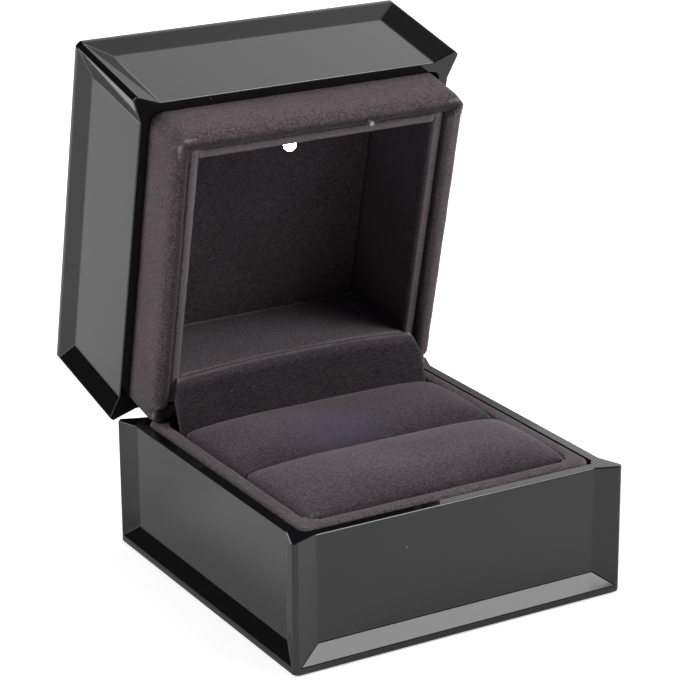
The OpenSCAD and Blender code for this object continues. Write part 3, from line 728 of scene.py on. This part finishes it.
# Only the part near the rim shows, so the band starts below it
bandLow = Vector((frameLow.x, frameLow.y, frameHigh.z - frameForm["shown"]))
baseFrame = addBand("baseFrame", bandLow, frameHigh, frameForm)
roundRim(baseFrame, frameHigh.z, frameHigh.x - frameForm["wall"] / 2, frameForm)
weaveMesh(baseFrame, frameForm["voxel"], frameForm["smoothing"])
moveVertices(baseFrame, softRule(frameForm["uneven"], frameForm["unevenScale"], seed=3.1))
suedeFinish(baseFrame, "base", ["base_frame"], warmSuede)
print("base frame done")

# The places across the wall are shares of it, from 0 outside to 1 inside
collarForm = dict(wall=3.2 * mm, corner=2.8 * mm, cornerSteps=6, innerCorner=1.2 * mm,
                  innerSteps=3, outerRound=2.1 * mm, innerRound=0.8 * mm, rimSteps=6,
                  rimMiddle=0.7, squareness=5.0, relief=1.3 * mm, reliefRun=1.2 * mm,
                  voxel=0.4 * mm, smoothing=9, uneven=0.09 * mm, unevenScale=230,
                  crownDepth=3 * mm, slant=1.8 * mm, slantStart=0.3, puff=0.4 * mm, puffEnd=0.4,
                  pleatDepth=0.06 * mm, pleatWidth=0.22 * mm, pleatGain=1.4,
                  # The last keys set painted shade on the crown's inner slope and painted light on its right side
                  paintedGrooveShade=0.58, grooveStart=0.2, grooveEnd=0.6, paintedRightLight=0.13,
                  rightRun=2 * mm)
collarLow, collarHigh = shutBox("lid_collar")


def onBand(form, low, high, co):
    # How far a point lies inward across the wall, and how near the crown it is
    inward = (high.x - max(abs(co.x), abs(co.y))) / form["wall"]
    return inward, max(0.0, 1 - (co.z - low.z) / form["crownDepth"])


def collarRule(form, low, high):
    soft = softRule(form["uneven"], form["unevenScale"], seed=7.7)
    rearStart = high.y - form["wall"] - form["reliefRun"]

    def rule(co, normal):
        # The hinge side stands back a little so that it can roll over the base
        rear = clamp((co.y - rearStart) / form["reliefRun"])
        # The corners beside the hinge are squarer than those at the front
        u = (abs(co.x) - (high.x - form["corner"])) / form["corner"]
        v = (co.y - (high.y - form["corner"])) / form["corner"]
        if u > 0 and v > 0:
            power = form["squareness"]
            out = math.hypot(u, v) / (u ** power + v ** power) ** (1 / power) - 1
            co.x += math.copysign(u * out * form["corner"], co.x)
            co.y += v * out * form["corner"]
        co.z += form["relief"] * rear * (1 - (co.z - low.z) / (high.z - low.z))
        # The crown slopes away to the inside, with fold lines at the mitred corners
        inward, onCrown = onBand(form, low, high, co)
        co.z += form["slant"] * onCrown * max(0.0, inward - form["slantStart"]) ** 2
        across = (abs(co.x) - abs(co.y)) / math.sqrt(2)
        fold = math.exp(-(across / form["pleatWidth"]) ** 2) * onCrown
        fold *= min(1, form["pleatGain"] * inward)
        outward = max(0.0, 1 - inward / form["puffEnd"])
        return soft(co, normal) + normal * (form["puff"] * outward - form["pleatDepth"] * fold)
    return rule


def grooveShade(form, low, high):
    # Painted shade on the inner slope of the crown, and painted light on its right side
    def shade(co):
        inward, onCrown = onBand(form, low, high, co)
        onRight = clamp((co.x - abs(co.y)) / form["rightRun"])
        start = form["grooveStart"]
        dark = form["paintedGrooveShade"] * clamp((inward - start) / (form["grooveEnd"] - start))
        return onCrown * (form["paintedRightLight"] * onRight - dark * (1 - onRight))
    return shade


collar = addBand("lidCollar", collarLow, collarHigh, collarForm)
roundRim(collar, collarLow.z, collarHigh.x - collarForm["rimMiddle"] * collarForm["wall"],
         collarForm)
weaveMesh(collar, collarForm["voxel"], collarForm["smoothing"])
moveVertices(collar, collarRule(collarForm, collarLow, collarHigh))
suedeFinish(collar, "lid", ["lid_collar"], warmSuede,
            extraWearAndShading=grooveShade(collarForm, collarLow, collarHigh))
place(collar, openLid)
print("collar done")

cardForm = dict(round=0.85 * mm, steps=4, voxel=0.35 * mm, smoothing=2, uneven=0.06 * mm,
                unevenScale=240, lipSwell=0.7 * mm, lipDepth=3.0 * mm, lipPaintedLight=0.1)


def liningCard(name, node, seed, lipAxis=None, lipLitRun=1.5 * mm):
    # A suede wrapped card with a rounded lip; lipAxis is 0 or 1 for a lip that shows, as x or y
    form = cardForm
    low, high = shutBox(node)
    piece = addBlock(name, low, high)
    pick(piece, "EDGE", lambda a, b: True)
    roundEdges(form["round"], form["steps"])
    objectMode()
    weaveMesh(piece, form["voxel"], form["smoothing"])
    soft = softRule(form["uneven"], form["unevenScale"], seed)
    middle = (low + high) / 2

    def rule(co, normal):
        # The suede is folded over the lip, which makes it thicker on the hollow's side
        nearLip = max(0.0, 1 - (co.z - low.z) / form["lipDepth"])
        if lipAxis is not None and (co[lipAxis] - middle[lipAxis]) * middle[lipAxis] < 0:
            co[lipAxis] -= math.copysign(form["lipSwell"] * math.sqrt(nearLip), middle[lipAxis])
        return soft(co, normal)

    def paintedLipLight(co):
        # Painted light along the lip, most on the hollow's side
        if lipAxis is None:
            return 0.0
        away = (co[lipAxis] - middle[lipAxis]) * math.copysign(1.0, middle[lipAxis])
        onInside = clamp(0.5 - away / (high[lipAxis] - low[lipAxis]))
        return form["lipPaintedLight"] * math.exp(-((co.z - low.z) / lipLitRun) ** 2) * onInside

    moveVertices(piece, rule)
    suedeFinish(piece, "lid", [node], shadedSuede, extraWearAndShading=paintedLipLight)
    place(piece, openLid)


liningCard("leftCard", "liner_left_card", seed=11.3, lipAxis=0)
liningCard("rightCard", "liner_right_card", seed=12.3, lipAxis=0, lipLitRun=4.0 * mm)
liningCard("frontCard", "liner_front_card", seed=13.3, lipAxis=1)
liningCard("rearCard", "liner_rear_card", seed=14.3)
liningCard("backCard", "liner_back_card", seed=15.3)
print("lining cards done")

# Floor lining with its fold and the flap below it, as one sheet
foldForm = dict(crestRise=0.7 * mm, bow=1.3 * mm, bowPower=2.2, bowFade=1.5, flapFlatten=0.75,
                thickness=0.8 * mm, flapLength=12.6 * mm, lean=25.5, radius=0.8 * mm,
                floorRun=24 * mm, half=29.4 * mm, floorHalf=27.9 * mm, widening=2.5,
                bulge=0.5 * mm, endTuck=1.4 * mm, endPower=6, uneven=0.08 * mm,
                unevenScale=200, foldLine=0.5 * mm, foldWearAndShading=0.26, paintedFlapShade=0.4,
                paintedFloorLight=0.14, shadeRun=2 * mm, flapEdge=0.3 * mm, floorEdge=0.5 * mm,
                backInset=0.5 * mm, lipInset=0.2 * mm, blendReach=0.6 * mm, columns=120,
                floorRows=36, foldRows=10, flapRows=20)


def foldPath(form):
    # From the back of the hollow over the fold to the flap's lower edge, as (y, z) at the ends
    low, high = shutBox("floor_pad")
    back = openLid @ Vector((0, high.y - form["backInset"], high.z))
    lip = openLid @ Vector((0, low.y + form["lipInset"], low.z))
    lean = math.radians(form["lean"])
    down = Vector((0, -math.sin(lean), -math.cos(lean)))
    rear = Vector((0, back.y - lip.y, back.z - lip.z)).normalized()
    crest = Vector((0, foldPoint.y, foldPoint.z + form["crestRise"]))
    path = [crest + rear * form["floorRun"] * (1 - i / form["floorRows"])
            for i in range(form["floorRows"])]
    a = crest + rear * form["radius"]
    b = crest + down * form["radius"]
    for i in range(form["foldRows"]):
        t = i / (form["foldRows"] - 1)
        path.append(a * (1 - t) ** 2 + crest * 2 * t * (1 - t) + b * t ** 2)
    straight = form["flapLength"] - form["radius"]
    path += [b + down * straight * (i + 1) / form["flapRows"] for i in range(form["flapRows"])]
    return path, len(path) - form["flapRows"] - form["foldRows"] // 2


def foldedLining(form):
    path, crestRow = foldPath(form)
    rows = len(path)
    deselect()
    bpy.ops.mesh.primitive_grid_add(x_subdivisions=form["columns"], y_subdivisions=rows - 1,
                                    size=1, location=(0, 0, 0))
    piece = nameNew("floorLining")
    for vertex in piece.data.vertices:
        # u runs from -1 to 1 across, and the rows run from the back to the flap's lower edge
        u = vertex.co.x * 2
        row = rows - 1 - round((vertex.co.y + 0.5) * (rows - 1))
        onFlap = max(0.0, (row - crestRow) / (rows - 1 - crestRow))
        onFloor = max(0.0, (crestRow - row) / crestRow)
        widen = (form["half"] - form["floorHalf"]) * min(1, onFlap * form["widening"])
        rise = form["bow"] * (1 - abs(u) ** form["bowPower"]) \
            * (1 - onFloor) ** form["bowFade"] * (1 - form["flapFlatten"] * onFlap)
        atEnd = abs(u) ** form["endPower"]
        swell = form["bulge"] * math.sin(math.pi * min(1, onFlap)) * atEnd
        tuck = form["endTuck"] * onFlap * atEnd
        vertex.co = Vector((u * (form["floorHalf"] + widen), path[row].y - swell + tuck,
                            path[row].z + rise))
    piece.data.update()
    selectAll(piece)
    bpy.ops.mesh.normals_make_consistent(inside=False)
    objectMode()
    modify(piece, "SOLIDIFY", thickness=form["thickness"], offset=0.0)
    moveVertices(piece, softRule(form["uneven"], form["unevenScale"], seed=21.0))
    return piece


def foldWearAndShading(form):
    # Worn nap and painted highlight along the fold, painted shade on the flap and painted light on the floor
    path, crestRow = foldPath(form)
    crest = path[crestRow]

    def shade(co):
        u = min(1.0, abs(co.x) / form["half"])
        rise = form["bow"] * (1 - u ** form["bowPower"])
        down = crest.z + rise - co.z
        away = (down ** 2 + (co.y - crest.y) ** 2) / form["foldLine"] ** 2
        onFlap = clamp(down / form["shadeRun"]) * (co.y < crest.y + form["flapEdge"])
        onFloor = clamp((co.y - crest.y - form["floorEdge"]) / form["shadeRun"])
        return (form["foldWearAndShading"] * math.exp(-away) - form["paintedFlapShade"] * onFlap
                + form["paintedFloorLight"] * onFloor)
    return shade


floorLining = foldedLining(foldForm)
suedeFinish(floorLining, None, ["floor_pad", "hinge_flap"], suedeSheet, gain=0.8,
            extraWearAndShading=foldWearAndShading(foldForm))
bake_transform(floorLining)
print("floor lining done")

# Ring rolls
rollForm = dict(merge=0.001 * mm, voxel=0.6 * mm, smoothing=1, shrink=0.08 * mm, pressure=4.0,
                cap=0.35 * mm, frames=14, uneven=0.07 * mm, unevenScale=180, cornerFill=0.2,
                cornerPower=24, paintedFrontShade=0.28, frontRun=10 * mm)


def mergedCopy(node, name, gap):
    # The solid's own mesh, with the points that lie in one place made one
    source = frame["nodes"][node]
    deselect()
    piece = bpy.data.objects.new(name, source.data.copy())
    bpy.context.scene.collection.objects.link(piece)
    selectAll(piece)
    bpy.ops.mesh.remove_doubles(threshold=gap)
    objectMode()
    return piece


def puffUp(piece, form):
    # Cloth under pressure, no point moved by more than the cap
    start = [v.co.copy() for v in piece.data.vertices]
    activate(piece)
    cloth = piece.modifiers.new("cloth", "CLOTH")
    cloth.settings.use_pressure = True
    cloth.settings.uniform_pressure_force = form["pressure"]
    cloth.settings.effector_weights.gravity = 0
    for step in range(1, form["frames"] + 1):
        bpy.context.scene.frame_set(step)
    bpy.ops.object.modifier_apply(modifier=cloth.name)
    for vertex, origin in zip(piece.data.vertices, start):
        move = vertex.co - origin
        if move.length > form["cap"]:
            vertex.co = origin + move.normalized() * form["cap"]
    piece.data.update()
    bpy.context.scene.frame_set(1)


def ringRoll(name, node, seed, material):
    # Foam roll under taut suede, puffed out a little by pressure
    form = rollForm
    piece = mergedCopy(node, name, form["merge"])
    weaveMesh(piece, form["voxel"], form["smoothing"])
    low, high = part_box(node)
    middle = (low + high) / 2
    reach = (high - middle) - Vector((form["shrink"],) * 3)

    def rule(co, normal):
        # Fills the corners, then stands a little inside for the puffing
        u = abs(co.x - middle.x) / reach.x
        fill = form["cornerFill"] * min(1.0, u) ** form["cornerPower"]
        deep = (co.y - middle.y) * (1 + fill)
        co.y = middle.y + max(-reach.y, min(reach.y, deep))
        return co - normal * form["shrink"]

    moveVertices(piece, rule)
    puffUp(piece, form)
    modify(piece, "SUBSURF", levels=1, render_levels=1)
    moveVertices(piece, softRule(form["uneven"], form["unevenScale"], seed))

    def frontShade(co):
        # Painted shade where the roll falls away to the front
        return -form["paintedFrontShade"] * max(0.0, 1 - (co.y - low.y) / form["frontRun"])

    suedeFinish(piece, "base", [node], material, extraWearAndShading=frontShade)


ringRoll("frontRoll", "front_roll", seed=31.0, material=frontSuede)
ringRoll("rearRoll", "rear_roll", seed=37.0, material=rearShadedSuede)
print("rolls done")

# Lens of the light
lensForm = dict(radius=1.3 * mm, shorter=0.85 * mm, brim=0.25 * mm, segments=40, domeSteps=8,
                tip=0.02, smoothAngle=40)


def lightLens(form):
    # A dome on a short barrel with a brim, standing out of the lining
    low, high = shutBox("light_lens")
    centre = (low + high) / 2
    length = high.y - low.y - form["shorter"] - form["radius"]
    deselect()
    bpy.ops.mesh.primitive_cylinder_add(vertices=form["segments"], radius=high.x - centre.x,
                                        depth=form["brim"], rotation=(math.pi / 2, 0, 0),
                                        location=(centre.x, low.y + form["brim"] / 2, centre.z))
    piece = nameNew("lightLens")
    pick(piece, "FACE", lambda centre, normal: normal.y > 0.9)
    bpy.ops.mesh.inset(thickness=high.x - centre.x - form["radius"])
    barrel = length - form["brim"]
    bpy.ops.mesh.extrude_region_move(TRANSFORM_OT_translate={"value": (0, barrel, 0)})
    angles = [math.pi / 2 * step / form["domeSteps"] for step in range(form["domeSteps"] + 1)]
    for a, b in zip(angles, angles[1:]):
        rise = form["radius"] * (math.sin(b) - math.sin(a))
        shrink = max(form["tip"], math.cos(b)) / max(form["tip"], math.cos(a))
        bpy.ops.mesh.extrude_region_move(TRANSFORM_OT_translate={"value": (0, rise, 0)})
        bpy.ops.transform.resize(value=(shrink, 1, shrink))
    objectMode()
    smooth(piece, form["smoothAngle"])
    place(piece, openLid)
    dress(piece, lamp)
    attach(piece, "lid")
    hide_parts("light_lens")


lightLens(lensForm)
print("lens done")

# Coil spring of the light's switch
coilForm = dict(wire=0.09 * mm, turns=7, steps=20, profile=8, smoothAngle=40, pressed=0.68)


def coilSpring(form):
    # A round wire spun up round the plunger
    low, high = shutBox("switch_spring")
    centre = (low + high) / 2
    ring = high.x - centre.x - form["wire"]
    pitch = (high.z - low.z - 2 * form["wire"]) / form["turns"]
    deselect()
    bpy.ops.mesh.primitive_circle_add(vertices=form["profile"], radius=form["wire"],
                                      rotation=(math.pi / 2, 0, 0), location=(ring, 0, 0))
    piece = nameNew("switchSpring")
    modify(piece, "SCREW", screw_offset=pitch, iterations=form["turns"], steps=form["steps"],
           render_steps=form["steps"], use_merge_vertices=False)
    selectAll(piece)
    bpy.ops.mesh.fill_holes(sides=form["profile"])
    bpy.ops.mesh.normals_make_consistent(inside=False)
    objectMode()
    smooth(piece, form["smoothAngle"])
    place(piece, openLid @ Matrix.Translation((centre.x, centre.y, low.z + form["wire"])))
    dress(piece, springSteel)
    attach(piece, "lid")
    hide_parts("switch_spring")
    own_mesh(piece)


coilSpring(coilForm)
print("switch spring done")

# Camera, floor and lights
view = dict(azimuth=-30.08, elevation=19.41, roll=-0.43, distance=472.5 * mm,
            target=(-29.9 * mm, -42.16 * mm, 67.38 * mm), lens=139.89, sensor=36,
            clipStart=0.01)


def addCamera():
    az, el, roll = (math.radians(view[k]) for k in ("azimuth", "elevation", "roll"))
    back = Vector((math.sin(az) * math.cos(el), -math.cos(az) * math.cos(el), math.sin(el)))
    right = Vector((math.cos(az), math.sin(az), 0))
    up = back.cross(right)
    tilted = right * math.cos(roll) + up * math.sin(roll)
    upward = up * math.cos(roll) - right * math.sin(roll)
    data = bpy.data.cameras.new("camera")
    data.lens = view["lens"]
    data.sensor_width = view["sensor"]
    data.clip_start = view["clipStart"]
    camera = bpy.data.objects.new("camera", data)
    turn = Matrix((tilted, upward, back)).transposed().to_4x4()
    eye = Vector(view["target"]) + back * view["distance"]
    camera.matrix_world = Matrix.Translation(eye) @ turn
    bpy.context.scene.collection.objects.link(camera)
    bpy.context.scene.camera = camera


floorForm = dict(radius=1.6, segments=96, patchScale=3.0, tone=(0.3, 0.7, 0.86, 0.9),
                 roughness=0.9, seenGlow=0.5)


def addFloor(form):
    deselect()
    bpy.ops.mesh.primitive_circle_add(vertices=form["segments"], radius=form["radius"],
                                      fill_type="NGON")
    floor = nameNew("floor")
    material, tree, shader = newMaterial("paleFloor")
    tone = remap(tree, noiseAt(tree, objectSpace(tree), form["patchScale"], 3.0), *form["tone"])
    tree.links.new(mixColour(tree, tone, (0, 0, 0, 1), (1, 1, 1, 1)), shader.inputs["Base Color"])
    shader.inputs["Roughness"].default_value = form["roughness"]
    shader.inputs["Specular IOR Level"].default_value = 0.0
    # Its own light is only for the camera, and lights nothing
    shader.inputs["Emission Color"].default_value = (1, 1, 1, 1)
    seen = addNode(tree, "ShaderNodeLightPath").outputs["Is Camera Ray"]
    tree.links.new(times(tree, seen, form["seenGlow"]), shader.inputs["Emission Strength"])
    # Clear from below, so that the felt can be looked at
    below = addNode(tree, "ShaderNodeNewGeometry").outputs["Backfacing"]
    tree.links.new(maths(tree, "SUBTRACT", 1.0, below), shader.inputs["Alpha"])
    dress(floor, material)


softboxes = [
    # name, place, size, power in watts; all face the box
    ("backBox", (0.72, 0.95, 0.75), (0.7, 0.5), 0.6),
    ("frontBox", (0.92, -1.06, 0.78), (1.0, 0.5), 9.0),
    ("keyBox", (0.62, -0.6, 1.1), (0.42, 0.42), 8.0),
    ("leftFill", (-1.35, 0.35, 1.0), (0.9, 0.9), 23.0)]


boxMiddle = Vector((0, 0, 50 * mm))


def addSoftbox(name, place, size, power):
    data = bpy.data.lights.new(name, "AREA")
    data.shape = "RECTANGLE"
    data.size, data.size_y = size
    data.energy = power
    lightObject = bpy.data.objects.new(name, data)
    lightObject.location = place
    aim = boxMiddle - Vector(place)
    lightObject.rotation_euler = aim.to_track_quat("-Z", "Y").to_euler()
    bpy.context.scene.collection.objects.link(lightObject)


worldGlows = [
    # axis, start and end of the rise by cosine, level
    ((0.9, 0.0, 0.436), 0.35, 1.0, 1.3),
    ((0.05, 0.98, 0.19), 0.9, 1.0, 3.0)]
worldDark = 0.03


def addWorld():
    # Dark, with a pale glow on the right and one behind, and white where the camera looks
    world = bpy.data.worlds.new("studio")
    bpy.context.scene.world = world
    world.use_nodes = True
    tree = world.node_tree
    background = tree.nodes["Background"]
    direction = addNode(tree, "ShaderNodeTexCoord").outputs["Generated"]
    glow = worldDark
    for axis, start, end, level in worldGlows:
        cosine = addNode(tree, "ShaderNodeVectorMath", {0: direction, 1: axis},
                         operation="DOT_PRODUCT").outputs["Value"]
        glow = plus(tree, softStep(tree, cosine, start, end, level), glow)
    seen = addNode(tree, "ShaderNodeLightPath").outputs["Is Camera Ray"]
    strength = addNode(tree, "ShaderNodeMix", {0: seen, 2: glow, 3: 1.0}, data_type="FLOAT")
    tree.links.new(strength.outputs[0], background.inputs["Strength"])
    background.inputs["Color"].default_value = (1, 1, 1, 1)


addCamera()
addFloor(floorForm)
for softbox in softboxes:
    addSoftbox(*softbox)
addWorld()
bpy.context.scene.view_settings.view_transform = "Standard"
print("camera, floor and lights done")
